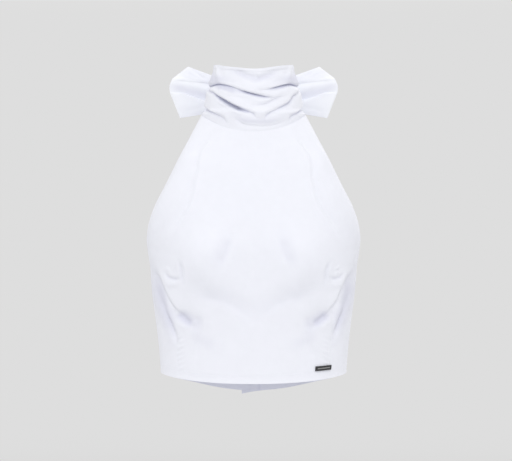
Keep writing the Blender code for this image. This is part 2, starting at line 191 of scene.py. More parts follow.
# Creases of the front, by place seen from the front in mm. A trough has a positive depth.
Crease = namedtuple("Crease", "depth width points")
SLIT_LEFT = ((-122.6, -241.6), (-116.5, -248.9), (-109.4, -250.9), (-101.3, -249.8))
FALL_LEFT = ((-102.5, -225.2), (-98.7, -239.5), (-97.4, -256.6))
SLIT_RIGHT = ((102.9, -247.8), (111.4, -250.4), (119.1, -248.6), (123.2, -242.2))
FALL_RIGHT = ((105.8, -225.2), (99.9, -239.5), (98.5, -256.6))
FRONT_CREASES = rows_of(
    Crease,
    # Hollow under the fullness, the small deep dimple and the puckers round the dart's point, left
    (2.2, (4, 8.5), (
        (-141, -236), (-138, -247.3), (-134.3, -266.7), (-129.2, -280.4), (-122.6, -294), (-117, -306),
    )),
    (2.4, 3.2, ((-119, -300), (-115.5, -310.4), (-109.1, -326.8), (-106, -338))),
    (4.5, (4.4, 5.2), ((-107, -298.5), (-99.5, -302.8), (-92, -308.8), (-84.5, -315))),
    (2, 6.5, ((-105, -295), (-90, -300), (-76, -308), (-75, -324))),
    (1.7, 2, SLIT_LEFT),
    (-1.2, 1.8, ((-119, -235.5), (-115.1, -240.5))),
    (-1, 3.4, ((-121, -256.5), (-112, -258.5), (-104, -257.5))),
    (1.3, 2.4, FALL_LEFT),
    (0.9, 3, ((-112.4, -280.8), (-110.2, -304.6), (-107.6, -336))),
    # The same on the right, a little different in length and place
    (2.2, (8.5, 4), (
        (140.7, -236.3), (138.4, -247.4), (135.5, -259.8), (132.6, -273.6), (128.2, -284.6), (121, -301),
    )),
    (2.4, 3.2, ((122.5, -297), (118.8, -307.8), (113.8, -321.4), (110, -334))),
    (4.5, (4.4, 5), ((81.5, -315.5), (89, -309.8), (97.5, -303.8), (105.5, -298))),
    (1.9, 6.5, ((74.5, -324), (75.4, -307.5), (88.3, -298.5), (105, -293))),
    (1.6, 2, SLIT_RIGHT),
    (-1.1, 1.6, ((113, -237.5), (117.5, -234))),
    (-0.9, 1.5, ((112, -243.5), (117, -240.5))),
    (-1, 3.4, ((121, -257.5), (112, -259.5), (104, -258.5))),
    (1.3, 2.4, FALL_RIGHT),
    (0.9, 3, ((111.4, -281.8), (109.6, -305.6), (107, -337))),
    # Waist darts below the folds
    (0.5, 0.9, ((-108, -318), (-105.6, -338), (-104.4, -389))),
    (0.5, 0.9, ((107.6, -320), (105.4, -338), (104.6, -389))),
    # Soft folds from the armholes
    (1.9, (7, 2.6), ((-56.1, -49.2), (-66.4, -61.7), (-75.4, -74.3), (-78.7, -86.8), (-79.3, -103.5))),
    (1.9, (8, 2.6), ((-79.3, -96), (-84.6, -125.6), (-90, -147.6), (-103.8, -171), (-117.8, -190.2))),
    (1.9, (2.6, 7), ((57.2, -49.2), (68.2, -65.9), (79.2, -79.8), (81.8, -95.1), (81.7, -114.6))),
    (1.9, (2.6, 8), ((81.9, -106), (88.4, -139.4), (102.2, -164.1), (119, -190.2))),
    # Soft fall of the cloth under the fullness
    (1.5, 12, ((-91, -248), (-77.3, -261), (-62, -277), (-46, -290))),
    (1.5, 12, ((92, -249), (78.4, -262), (63, -278), (48, -290))),
    (1.1, (6, 14), ((-73.2, -273.5), (-52.7, -277.4), (-34.9, -281.5), (-15.8, -293.8), (1.9, -306.1))),
    (1.1, (6, 14), ((1.9, -306.1), (11.5, -297.9), (29.2, -285.6), (49.6, -276.1), (70, -271))),
    (1.6, (9, 5), ((-31.5, -194.2), (-37.6, -213.3), (-47.1, -233.7))),
    (1.5, (5, 9), ((37.3, -194.2), (42.7, -213.3), (52.2, -233.7))),
    (1.1, 7, ((-74, -327), (-80, -345), (-83, -366))),
    (1, 7, ((72, -330), (79, -348), (84, -362))),
)

# Painted shade in the front's hollows, under its folds and round the darts, as a share of the full painted
# shade colour.
FRONT_PAINTED_SHADES = rows_of(
    Crease,
    (0.24, 9, ((-92, -326), (-76, -333), (-58, -339), (-48, -342))),
    (0.24, 9, ((48, -342), (62, -338), (76, -333), (92, -326))),
    (1, (12, 6.5), (
        (-137, -240), (-134, -252), (-130, -268), (-125, -285), (-119, -300), (-112, -318), (-107, -334),
    )),
    (1, (7, 7), ((-109, -297.5), (-99.5, -303.2), (-91.5, -309.4), (-83, -316))),
    (0.42, 8, ((-104, -296), (-90, -300), (-76, -310), (-75, -325))),
    (0.4, 3, SLIT_LEFT),
    (0.3, 3, FALL_LEFT),
    (0.95, (6.5, 12), (
        (137, -240), (134, -252), (131, -267), (126, -285), (120, -300), (114, -317), (110, -333),
    )),
    (1, (7, 7), ((80, -316.5), (88.5, -310.2), (97.5, -304), (107.5, -297))),
    (0.42, 8, ((74.5, -325), (76, -309), (89, -299), (104, -294))),
    (0.4, 3, SLIT_RIGHT),
    (0.3, 3, FALL_RIGHT),
    (0.16, (8, 18), ((-94, -260), (-73.2, -272), (-50, -278), (-34.9, -283), (-15.8, -295), (1.9, -306.1))),
    (0.16, (8, 18), ((1.9, -306.1), (11.5, -299), (29.2, -287), (49.6, -277), (70, -271), (94, -260))),
    (0.3, (14, 5), ((-30, -188), (-37.6, -213.3), (-48.5, -238))),
    (0.3, (5, 14), ((35, -188), (42.7, -213.3), (54, -238))),
)

# Over its line a fold rolls out by roll within the height above and laps over it by lap, and beside
# it lies a hollow of the depth hollow within the height below. A point is a place across, a height,
# the share of the fold's strength there, and the distance over which its lip is rounded, in mm.
Fold = namedtuple("Fold", "roll hollow above below lap points")

# Step in mm along a fold's line.
FOLD_STEP = 3

# Where the full cloth of the front laps over the side, and the second fold beside the dart.
FRONT_FOLDS = rows_of(
    Fold,
    (1.3, 2.4, 12, 7, 0.8, (
        (-135.5, -238, 0, 6), (-131.8, -246.4, 0.7, 3.5), (-126.6, -256.6, 1.1, 2.2),
        (-117.4, -275.7, 1.1, 1.5), (-110.4, -286.6, 1, 1.5), (-104.6, -293.6, 0.5, 2), (-98, -299, 0, 3),
    )),
    (1.1, 2, 5, 5, 0.3, (
        (-126.5, -276.2, 0, 4), (-121.2, -294, 0.8, 3), (-115.5, -309, 1.1, 2.4), (-109.8, -324, 0.8, 2.8),
        (-106.3, -338.7, 0, 4),
    )),
    (1.3, 2.3, 12, 7, 0.8, (
        (97.5, -298.6, 0, 3), (103.9, -293, 0.5, 2), (109.9, -285.2, 1, 1.5), (115.8, -277.1, 1.1, 1.5),
        (120.2, -266.1, 1.1, 1.8), (128.3, -251.1, 0.9, 2.8), (132.3, -244.5, 0.6, 3.6), (136, -237, 0, 6),
    )),
    (1.1, 2, 5, 5, 0.3, (
        (109.6, -338.9, 0, 4), (113.1, -324.2, 0.8, 2.8), (116.7, -311.8, 1.1, 2.4), (123.8, -294.1, 0.8, 3),
        (129.6, -277.4, 0, 4),
    )),
)

# Soft drag lines of a back panel, by distance from the centre line and height.
BACK_CREASES = rows_of(
    Crease,
    (3.4, (6, 5), ((142, -262), (122, -276), (98, -296), (82, -318))),
    (2.8, (5, 4), ((139, -286), (124, -304), (112, -326), (104, -352))),
    (-1.8, 7, ((132, -272), (110, -288), (92, -310))),
    (2.2, 8, ((98, -228), (84, -246), (66, -262), (44, -272))),
    (1.9, 5, ((26, -282), (44, -288), (62, -300))),
    (1.6, 5, ((26, -330), (46, -336), (66, -350))),
    (2, 6, ((72, -330), (64, -352), (60, -378))),
    (1.7, 5, ((118, -352), (112, -370), (110, -388))),
)

# How far the right panel's drag lines are moved, and where the lines and the waves start and stop.
DRAG_SHIFT = (5, -6)
DRAG_START = (20, 14)
WAVES_START = (26, 20)
WAVES_STOP = (140, -20)

# Degrees before the side seam, and share of the height below the neck, where the cloth settles.
SIDE_FADE = 6
NECK_FADE = 0.03

# The facing along the armholes, and the puckers along each dart below its point.
ARMHOLE_SLANT = 0.86
FACING_DEPTH = 0.3
FACING_WIDTH = 26
FACING_SOFT = 3
FACING_START = 12
PUCKER_DEPTH = 0.35
PUCKER_STEP = 7.4
DART_SIDE = 101
DART_WIDE = 4.5
DART_TOP = -322
DART_LOW = -384
DART_FADE = 10
HEM_RAISE = 0.5
HEM_WIDE = 3

# Painted shade on the collar by the depth of a hollow, and more painted shade by angle and height.
COLLAR_PAINTED_SHADE_PER_MM = 0.12
COLLAR_PAINTED_SHADES = rows_of(
    Crease,
    (1, 7.5, ((-135, 30), (-105, 30), (-80, 30), (-62, 27.5), (-40, 24.5), (-28, 22))),
    (0.45, 16, ((-82, 58), (-86, 44), (-88, 30))),
    (1, 7.5, ((135, 30), (105, 30), (80, 30), (62, 27.5), (40, 24.5), (28, 22))),
    (0.45, 16, ((82, 58), (86, 44), (88, 30))),
    (0.55, 4, ((-36, 37.5), (-20, 32.5), (-9.9, 27.6), (3.1, 23.3), (16.2, 27), (36.2, 34.7))),
    (1.3, 3, ((-56, 15.8), (-40, 13), (-31.7, 11.3), (-17, 6))),
    (1.1, 2.2, ((-78, 20.6), (-58, 19.5), (-41.9, 16.7), (-22.4, 11.7))),
    (1.1, 2, ((-18.8, 10), (2.8, 3.1), (20.4, 0.6))),
    (1.1, 2.2, ((78, 20.6), (56, 19.8), (40, 16.6), (20.9, 11.7))),
    (0.9, (2.6, 4.2), ((-90, 16.2), (-60.9, 9.3), (-47.5, 3), (-33.6, -5.3))),
    (0.45, 2, ((-14, -18.5), (-7, -20), (-1.2, -21.3), (3.6, -27.5))),
    (0.45, 2, ((24, -16.8), (18, -20.5), (13.3, -24.7), (11.6, -30.2))),
    (0.55, 4.6, ((-24, -25), (-11.3, -31), (2.5, -33), (15.5, -32.5), (33, -27.5))),
    (0.25, 3, ((39.1, 4.7), (25.4, -2.1), (14.4, -7.9), (0.5, -10.1))),
    (0.3, 2.5, ((-81.9, -11.8), (-51.8, -19.9), (-37.3, -26.8), (-31.5, -33.2))),
    (0.3, 2.5, ((90, -11.3), (55.3, -19.7), (44.2, -26.5), (42.1, -32.1))),
)

# Height of the collar's top edge, by angle round the neck from the front.
Edge = namedtuple("Edge", "angle top")
EDGE_ROWS = rows_of(
    Edge,
    (-180, 41), (-135, 46), (-90, 49), (-64, 47.6), (-45, 44.8), (-24, 42.2), (-7, 40.4), (2, 40), (11, 40.6),
    (30, 43.5), (58, 47), (90, 49), (135, 46), (180, 41),
)

# The collar's grid, its seam, its turned top edge and its smooth inner side.
COLLAR_ROWS = 136
COLLAR_FRONT = 105
COLLAR_FRONT_COLUMNS = 236
COLLAR_BACK_COLUMNS = 84
ARC = 1.12
COLLAR_REACH = 0.28
COLLAR_SEAM_FADE = 6
COLLAR_TOP_FADE = 5
TURNED_EDGE = 0.3
TURNED_DOWN = 3.2
TURNED_WIDE = 2.2
LINING_ROWS = 9
LINING_AT_SEAM = 0.3
LINING_EASE = 0.2

Neck = namedtuple("Neck", "height half_width front back")
NECK_ROWS = rows_of(
    Neck,
    (-47, 73, 66.5, 65), (-21.2, 73, 66.5, 65), (-13, 67.5, 64, 64), (6, 67.5, 62, 63), (15, 65, 61, 62),
    (24, 60.5, 59, 61), (40, 57, 56.5, 60), (49, 56, 56, 60),
)

# Folds of the collar, by angle round the neck in place of the distance across.
FOLDS = rows_of(
    Fold,
    # Upper roll, left side, from the knot to where it runs out right of the centre
    (2.4, 5.2, 12, 5, 2.8, (
        (-178, 12, 0, 4), (-150, 17, 0.7, 4), (-118, 20, 0.9, 4.5), (-90, 20.6, 1.25, 5),
        (-67.1, 20, 1.25, 4.6), (-52.2, 20.6, 1, 3.2), (-38, 18.6, 0.85, 2), (-28.4, 16, 0.65, 1.8),
        (-21.3, 13.3, 0.5, 2.6), (-14.9, 10.6, 0.75, 2.2), (-6.5, 7.8, 1.15, 1.6), (2.8, 4.9, 1.1, 1.6),
        (12, 2.4, 0.75, 2), (19.2, 1.3, 0.4, 2.6), (29, 1.6, 0, 3),
    )),
    # Upper roll, right side
    (2.4, 5.2, 12, 5, 2.8, (
        (2, 12, 0, 3), (7, 12, 0.16, 3), (14.7, 11.8, 0.3, 2.6), (22.3, 13.4, 0.5, 2), (30.9, 16, 0.85, 1.8),
        (42.8, 19, 1, 2), (56.1, 20.8, 1.1, 3.4), (67.9, 19.9, 1.25, 4.6), (90, 20.4, 1.25, 5),
        (118, 19.5, 0.9, 4.5), (150, 16, 0.7, 4), (178, 11, 0, 4),
    )),
    # Swag, left side, with the deep opening and the hook at its lower end
    (2.5, 4, 11, 5, 2.4, (
        (-178, 3, 0, 4), (-150, 9, 0.5, 4), (-118, 15.5, 0.5, 4), (-90, 17.4, 0.45, 4), (-70.7, 13, 0.6, 4.4),
        (-57.3, 9.1, 0.7, 3.2), (-47.2, 4.4, 0.95, 1.6), (-37.3, -0.6, 1.25, 1.3), (-26.5, -7.4, 1.3, 1.3),
        (-16.4, -13.2, 1, 1.6), (-9.4, -16.6, 0.8, 2.2), (-4.5, -18.9, 0.65, 3), (-1, -20.8, 0.6, 3),
        (2.2, -23.9, 0.5, 3), (3.8, -30, 0, 3),
    )),
    # Swag, right side
    (2.4, 3.8, 11, 6, 1.8, (
        (11.6, -30.5, 0, 3), (13.2, -24.5, 0.55, 3.4), (18.8, -19.3, 0.66, 3.4), (33.8, -12.4, 0.75, 2.6),
        (44.3, -6.1, 1.05, 1.8), (48.9, -1.4, 1.05, 1.8), (54.7, 4.3, 0.8, 3), (75.5, 12.4, 0.6, 4),
        (90, 17, 0.45, 4), (118, 15, 0.5, 4), (150, 8, 0.5, 4), (178, 2, 0, 4),
    )),
    # Lower roll at each side
    (2.2, 3.2, 9, 4.6, 2.2, (
        (-178, -4, 0, 4), (-150, -3, 0.6, 4), (-118, -5, 0.8, 3), (-90, -9.2, 1, 2.2), (-61.3, -16.7, 1.1, 2),
        (-47.4, -20.8, 0.7, 3), (-37, -25.6, 0.6, 3.4), (-32.5, -30, 0.5, 3.4), (-29.5, -37, 0, 3),
    )),
    (2.2, 3.2, 9, 4.6, 2.2, (
        (41, -33, 0, 3), (43.4, -26.5, 0.5, 3.4), (48.9, -22.4, 0.65, 3.4), (66, -16.5, 1.1, 2),
        (90, -9.2, 1, 2.2), (118, -4, 0.8, 3), (150, -2, 0.6, 4), (178, -3, 0, 4),
    )),
    # Soft roll at the bottom of the front
    (1.2, 1.5, 9, 6, 0.3, (
        (-22, -24, 0, 5), (-14.3, -31.4, 0.8, 4.5), (-8.9, -35.6, 1, 4.5), (3.1, -37, 0.8, 6),
        (14.5, -37, 0.9, 6), (24.9, -35, 0.8, 5), (38, -28, 0, 5),
    )),
    # Short fold right of the centre, under the upper roll
    (1.1, 1.4, 8, 7, 0.4, (
        (-6, -8.4, 0, 4), (5.9, -8.9, 0.6, 4), (15.7, -6.7, 1, 3), (25.3, -0.8, 1, 3), (36.8, 4.2, 0.6, 4),
        (48, 7.6, 0, 4),
    )),
    # Soft step left of the centre, under the upper roll
    (0.7, 0.8, 6, 6, 0.2, ((-44, 6.4, 0, 4), (-30, 4, 0.9, 3.6), (-15.8, 2.4, 0.8, 4), (2, -1.6, 0, 4))),
)

# Softer hollows and ridges of the collar, by angle and height. A ridge has a negative depth.
COLLAR_CREASES = rows_of(
    Crease,
    (2.3, 4, ((-36, 38), (-19, 34.8), (-6, 29.6), (6.6, 26), (16.4, 29.8), (30, 35), (42, 38))),
    (0.35, 1.3, ((-66, 42.6), (-44.5, 39.2), (-19, 36.5), (2.9, 34.8), (23.5, 36.6), (47.7, 40), (66, 42.6))),
    (7.5, 2.2, ((-50, 4.6), (-44.5, 0.4), (-36.5, -4.8), (-27, -10.8), (-17.5, -16), (-7, -20.2))),
    (-1.6, 4, ((-68, 48), (-57, 33), (-43, 22.5))),
    (-1.6, 4, ((68, 48), (57, 33), (43, 22.5))),
    (-0.9, 1.6, ((-50.5, 19.5), (-46, 14.5), (-41, 8.5))),
    (-0.9, 1.6, ((51, 20), (47, 14), (44, 9))),
    (-0.8, 7, ((-74, 6), (-58, -4), (-40, -14), (-22, -24))),
    (-0.8, 7, ((76, 4), (60, -6), (42, -15), (26, -24))),
    (0.9, 3, ((-60, -23), (-66, -30))),
    (0.8, 3, ((58, -25), (64, -31))),
)

# Bow behind the neck. Rows run across the ribbon from its lower edge to its upper edge.
Loop = namedtuple("Loop", "across reach height at_knot")
LOOP_ROWS = rows_of(
    Loop,
    (0, 106.4, -21.6, -6.5), (0.486, 120.9, 14.6, 7.5), (0.56, 121.9, 20.4, 10), (0.636, 121.5, 25.9, 12.5),
    (0.763, 117.6, 35.2, 16.5), (1, 94.9, 52.7, 23),
)
LOOP_MID = 74.2
LOOP_HALF_THICK = 9.5
LOOP_PINCH = 0.3
LOOP_EDGE_FLAT = 0.6
LOOP_START = 15.2
LOOP_FADE = 0.2
LOOP_TIP = 1.07

# Folds of a loop, by distance from the centre and height, in the terms of the collar's folds.
LOOP_FOLDS = rows_of(
    Fold,
    (0.6, 5.6, 5, 14, 1.2, (
        (123, 14.8, 0.8, 1.6), (108, 14.2, 0.8, 1.6), (99.9, 13.4, 0.9, 1.8), (91.3, 9.7, 1, 2),
        (75.2, 4.3, 1, 1.8), (50, -1.5, 0.9, 2), (20, 1, 0.5, 2),
    )),
    (0.8, 1.6, 9, 6, 0.4, (
        (20, 17, 0.6, 2), (48, 25, 1, 2.2), (64.9, 29, 1, 2.6), (90, 32.2, 0.9, 3), (116, 33.6, 1.2, 2),
        (124, 34, 1.2, 1.6),
    )),
)
# Painted shade on a loop, by distance from the centre and height.
LOOP_PAINTED_SHADES = rows_of(
    Crease,
    (0.55, (9, 6.5), ((50, 6), (62, 9), (78, 13), (94, 17.5), (108, 22), (118, 25), (130, 27))),
    (0.34, 12, ((40, 24), (62, 33), (84, 41), (104, 44), (122, 44))),
)
LOOP_CREASES = rows_of(
    Crease,
    (1, 2.2, ((92, 51), (84, 43), (70, 35))),
    (0.7, 2, ((101, 46), (90, 40), (76, 34.5))),
    (0.6, 2.2, ((112, 40), (98, 37), (80, 33))),
    (0.8, 4, ((98, 26), (88, 20), (76, 15))),
    (0.5, 3, ((104, -14), (88, -9), (66, -5))),
    (0.6, 2, ((60, 12), (44, 9), (26, 8))),
    (0.6, 2, ((58, 34), (42, 26), (26, 19))),
    (0.5, 2, ((56, -10), (40, -6), (26, -3))),
)

KNOT_CENTRE = (0, 74.2, 8.5)
KNOT_HALF = (14.6, 10.8, 17.5)
KNOT_POWER = 2.6
KNOT_CAP = 0.012
KNOT_FOLD = 0.05
KNOT_FOLD_LINES = ((0.3, 0.16), (-0.38, 0.14))

TAIL_TOP = -9.4
TAIL_LENGTH = 158
TAIL_HALF = (5.6, 30)
TAIL_SIDE = (6.4, 37)
TAIL_DEPTH = 75.3
TAIL_BACK_SWING = 9
TAIL_RIPPLE = 3
TAIL_WAVE = 0.8


def between(rows, column, at):
    """Smooth value of one column of a table at one or more places. The places are its first column."""
    xs = np.array([row[0] for row in rows], float)
    ys = np.array([getattr(row, column) for row in rows], float)
    at = np.clip(at, xs[0], xs[-1])
    run = np.diff(xs)
    slope = np.diff(ys) / run
    ease = np.zeros(len(xs))
    ease[0], ease[-1] = slope[0], slope[-1]
    same = slope[:-1] * slope[1:] > 0
    total = slope[:-1] + slope[1:]
    ease[1:-1] = np.where(same, 2 * slope[:-1] * slope[1:] / np.where(same, total, 1), 0)
    i = np.clip(np.searchsorted(xs, at, side="right") - 1, 0, len(run) - 1)
    t = (at - xs[i]) / run[i]
    rise = (2 * t**3 - 3 * t**2 + 1) * ys[i] + (3 * t**2 - 2 * t**3) * ys[i + 1]
    return rise + run[i] * ((t**3 - 2 * t**2 + t) * ease[i] + (t**3 - t**2) * ease[i + 1])


def bump(offset, width):
    return np.exp(-((offset / width) ** 2))


def soft_step(value):
    value = np.clip(value, 0, 1)
    return value * value * (3 - 2 * value)


def ramp(value, start, run):
    """0 until start, then a smooth rise to 1 over run. A negative run rises the other way."""
    return soft_step((value - start) / run)


def unevenness(a, b, wave):
    """Smooth, uneven waves over two coordinates in mm."""
    tall, size = wave
    total = 0.0
    for number in range(7):
        turn = 2.39996 * number + 0.6
        stretch = size * (0.7 + 0.19 * number)
        total += np.sin((a * np.cos(turn) + b * np.sin(turn)) / stretch + 1.7 * number)
    return tall * (total / 7 * 1.6)


def lengths_along(path):
    """Length of a path from its start to each of its points."""
    return np.concatenate([[0], np.cumsum(np.linalg.norm(np.diff(path, axis=0), axis=1))])


def nearest(across, height, line):
    """A line's nearest point to each place: distance, side, number along the line and the direction there."""
    found = np.zeros((5, *np.broadcast(across, height).shape))
    found[0] = 1e9
    for number, (a, b) in enumerate(zip(line[:-1], line[1:])):
        length = np.hypot(b[0] - a[0], b[1] - a[1])
        ux, uz = (b[0] - a[0]) / length, (b[1] - a[1]) / length
        t = np.clip((across - a[0]) * ux + (height - a[1]) * uz, 0, length)
        gap_x, gap_z = across - a[0] - ux * t, height - a[1] - uz * t
        distance = np.hypot(gap_x, gap_z)
        nearer = distance < found[0]
        for row, value in zip(found, (distance, gap_z * ux - gap_x * uz, number + t / length, ux, uz)):
            row[nearer] = np.broadcast_to(value, row.shape)[nearer]
    return found


def crease_depth(a, b, creases, scale=1):
    """How far the creases press in at each place (a, b). A pair of widths is right and left of the line."""
    total = np.zeros(np.broadcast(a, b).shape)
    for crease in creases:
        points = np.array(crease.points, float) * (scale, 1)
        distance, side, number, _, _ = nearest(a * scale, b, points)
        reach = lengths_along(points)
        along = np.interp(number, np.arange(len(reach)), reach / reach[-1])
        ends = ramp(along, 0, 0.3) * ramp(along, 1, -0.3)
        right_width, left_width = np.broadcast_to(crease.width, 2)
        width = np.where(side > 0, left_width, right_width)
        valley = bump(distance, width) - 0.2 * bump(distance - 2.1 * width, 1.3 * width)
        total += crease.depth * valley * (0.25 + 0.75 * ends) * bump(distance, 6 * width)
    return total


def smooth_line(points):
    """Points at about even steps on a smooth curve through the given rows, all columns alike."""
    before = np.concatenate([[2 * points[0] - points[1]], points[:-1]])
    after = np.concatenate([points[1:], [2 * points[-1] - points[-2]]])
    tangent = 0.5 * (after - before)
    made = []
    for i in range(len(points) - 1):
        length = np.hypot(*(points[i + 1] - points[i])[:2])
        for t in np.linspace(0, 1, max(2, int(length / FOLD_STEP)), endpoint=False):
            row = (2 * t**3 - 3 * t**2 + 1) * points[i] + (3 * t**2 - 2 * t**3) * points[i + 1]
            made.append(row + (t**3 - 2 * t**2 + t) * tangent[i] + (t**3 - t**2) * tangent[i + 1])
    made.append(points[-1])
    return np.array(made)


def fold_shape(across, height, folds, scale):
    """How far the folds push each place out, and how far they slide it along the cloth."""
    push = np.zeros(height.shape)
    slide = np.zeros((2, *height.shape))
    for fold in folds:
        line = smooth_line(np.array(fold.points, float) * (scale, 1, 1, 1))
        distance, side, number, ux, uz = nearest(across, height, line)
        strength, round_over = (np.interp(number, np.arange(len(line)), line[:, i]) for i in (2, 3))
        strength = np.maximum(strength, 0)
        lap = fold.lap * strength
        signed = np.sign(side) * distance - 0.7 * lap
        over = fold.roll * ramp(signed, 0, round_over) * bump(signed, fold.above) * (signed > 0)
        under = fold.hollow * ramp(signed, 0, -0.4 - 0.6 * round_over)
        under = under * bump(signed, fold.below) * (signed < 0)
        push += strength * (over - under)
        slip = lap * bump(signed - 0.5 * round_over, 0.7 + 0.7 * round_over)
        slide -= slip * np.stack([-uz, ux])
    return push, slide


def normals_of(grid):
    """Unit normals of a grid of points."""
    normal = np.cross(np.gradient(grid, axis=1), np.gradient(grid, axis=0))
    return normal / np.maximum(np.linalg.norm(normal, axis=2, keepdims=True), 1e-9)


def cloth_map(grid, ring):
    """Lengths along the cloth in metres, for the weave."""
    middle = grid[grid.shape[0] // 2]
    across = lengths_along(middle)
    up = np.linalg.norm(np.diff(grid, axis=0), axis=2).mean(axis=1)
    if ring:
        across = np.append(across, across[-1] + np.linalg.norm(middle[0] - middle[-1]))
    return MM * across, MM * np.concatenate([[0], np.cumsum(up)])


def link_object(name, data):
    item = bpy.data.objects.new(name, data)
    bpy.context.scene.collection.objects.link(item)
    return item


def add_object(name, points, faces, material):
    mesh = bpy.data.meshes.new(name)
    mesh.from_pydata((MM * np.asarray(points, float)).tolist(), [], faces)
    mesh.shade_smooth()
    mesh.materials.append(material)
    mesh.update()
    return link_object(name, mesh)


def dress(piece, node=None):
    """Hides the CAD node that the piece stands for, and attaches the piece to the root body."""
    if node:
        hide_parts(node)
    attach(piece, "root")
    return piece


def add_cloth(name, outer, inner, material, ring=False, tone=0, inner_painted_shade=0):
    """A thin closed shell between two grids of points, with the weave's map and the shade painted into its
    hollows and inside.
    """
    rows, columns = outer.shape[:2]
    points = np.concatenate([outer.reshape(-1, 3), inner.reshape(-1, 3)])
    second = rows * columns
    spans = columns if ring else columns - 1
    row, column = np.meshgrid(np.arange(rows - 1), np.arange(spans), indexing="ij")
    beside = (column + 1) % columns
    low, high = row * columns, (row + 1) * columns
    quads = np.stack([low + column, low + beside, high + beside, high + column], axis=-1).reshape(-1, 4)
    at = np.arange(spans)
    after = (at + 1) % columns
    top = (rows - 1) * columns
    rims = [
        np.stack([after, at, second + at, second + after], axis=-1),
        np.stack([top + at, top + after, second + top + after, second + top + at], axis=-1),
    ]
    if not ring:
        low = np.arange(rows - 1) * columns
        high = low + columns
        last = columns - 1
        rims.append(np.stack([low, high, second + high, second + low], axis=-1))
        rims.append(np.stack([high + last, low + last, second + low + last, second + high + last], axis=-1))
    faces = np.concatenate([quads, second + quads[:, ::-1], *rims])
    piece = add_object(name, points, faces.tolist(), material)
    across, up = cloth_map(outer, ring)
    at_row, at_column = np.divmod(faces % second, columns)
    if ring:
        wraps = np.ptp(at_column, axis=1) > columns // 2
        at_column[wraps[:, None] & (at_column == 0)] = columns
    layer = piece.data.uv_layers.new(name="weave")
    layer.data.foreach_set("uv", np.stack([across[at_column], up[at_row]], axis=-1).reshape(-1))
    # The hollow attribute is painted shade: a share, per point, of the shade colour mixed into the cloth.
    hollow = piece.data.attributes.new("hollow", "FLOAT", "POINT")
    shares = np.zeros((2, rows, columns))
    shares[0] = np.clip(tone, 0, 1)
    shares[1] = np.clip(inner_painted_shade, 0, 1)
    hollow.data.foreach_set("value", shares.reshape(-1))
    mark_edges(piece.data, sum(len(part) for part in rims))
    return piece


def mark_edges(mesh, rim):
    """Keeps the turned edges crisp: the rim's faces, the last ones, are flat, and their edges sharp."""
    mesh.polygons.foreach_set("use_smooth", [True] * (len(mesh.polygons) - rim) + [False] * rim)
    loops = np.zeros(len(mesh.loops), int)
    mesh.loops.foreach_get("edge_index", loops)
    sharp = np.zeros(len(mesh.edges), bool)
    sharp[loops[-4 * rim :]] = True
    mesh.edges.foreach_set("use_edge_sharp", sharp)


def add_stitches(name, runs, stitch, material):
    """Short raised threads along runs. A run is its points and the directions out of the cloth there."""
    length, gap = stitch
    around = THREAD_SIDES
    swell = (0.4, 1, 1, 1, 0.4)
    rise = (-0.5, 0.5, 0.8, 0.5, -0.5)
    points, faces = [], []
    for path, out in runs:
        reach = lengths_along(path)
        for number in range(int(reach[-1] // (length + gap))):
            at = number * (length + gap) + np.linspace(0, length, len(swell))
            centres = np.stack([np.interp(at, reach, path[:, axis]) for axis in range(3)], axis=-1)
            normal = np.array([np.interp(at[2], reach, out[:, axis]) for axis in range(3)])
            along = centres[-1] - centres[0]
            side = np.cross(normal, along / np.linalg.norm(along))
            start = len(points)
            for centre, width, lift in zip(centres, swell, rise):
                for turn in 2 * pi * np.arange(around) / around:
                    round_about = width * (np.cos(turn) * side + np.sin(turn) * normal)
                    points.append(centre + THREAD_RADIUS * (lift * normal + round_about))
            for ring in range(len(swell) - 1):
                for step in range(around):
                    a, b = start + ring * around + step, start + ring * around + (step + 1) % around
                    faces.append((a, b, b + around, a + around))
            faces.append(tuple(range(start, start + around))[::-1])
            faces.append(tuple(range(len(points) - around, len(points))))
    return dress(add_object(name, points, faces, material))


def section(angle, power=SECTION_POWER):
    """Sideways and forward share of a rounded section, with 0 degrees at its middle."""
    turn = np.radians(np.asarray(angle, float))
    side = np.sign(np.sin(turn)) * np.abs(np.sin(turn)) ** (2 / power)
    out = np.abs(np.cos(turn)) ** (2 / power)
    return side, out


def seam_height(angle):
    """Height of the neck seam, low at the front and high at the back."""
    turn = np.radians(angle)
    middle = np.where(np.cos(turn) > 0, FRONT_NECK, BACK_NECK)
    return NECK_CORNER + (middle - NECK_CORNER) * np.abs(np.cos(turn)) ** LEVEL_POWER


def front_point(angle, level):
    """Point of the smooth front panel: level 0 is the hem and 1 the neck seam."""
    side_height = SIDE_HEM + (NECK_CORNER - SEAM_GAP - SIDE_HEM) * level
    middle_height = FRONT_HEM + (FRONT_NECK - SEAM_GAP - FRONT_HEM) * level
    turn = np.radians(angle)
    fall = np.abs(np.cos(turn)) ** LEVEL_POWER
    height = side_height + (middle_height - side_height) * fall
    half_width = between(SIDE_ROWS, "half_width", side_height)
    edge = between(SIDE_ROWS, "edge_forward", side_height) + SEAM_GAP / 2
    depth = between(DEPTH_ROWS, "front", middle_height)
    power = SECTION_POWER + (NECK_POWER - SECTION_POWER) * level**3
    side, out = section(angle, power)
    x = half_width * side
    y = -edge - (depth - edge) * out
    bust = bump(np.abs(x) - BUST_SIDE, BUST_WIDE) * bump(height - BUST_HEIGHT, BUST_HIGH)
    push = BUST_OUT * bust * out
    x = x + push * np.sin(turn)
    y = y - push * np.cos(turn)
    return np.stack(np.broadcast_arrays(x, y, height), axis=-1)


def armhole_distance(x, height):
    """Rough distance in mm of a place on the front from the armhole's edge."""
    edge = between(SIDE_ROWS, "half_width", height)
    return (edge - np.abs(x)) * ARMHOLE_SLANT


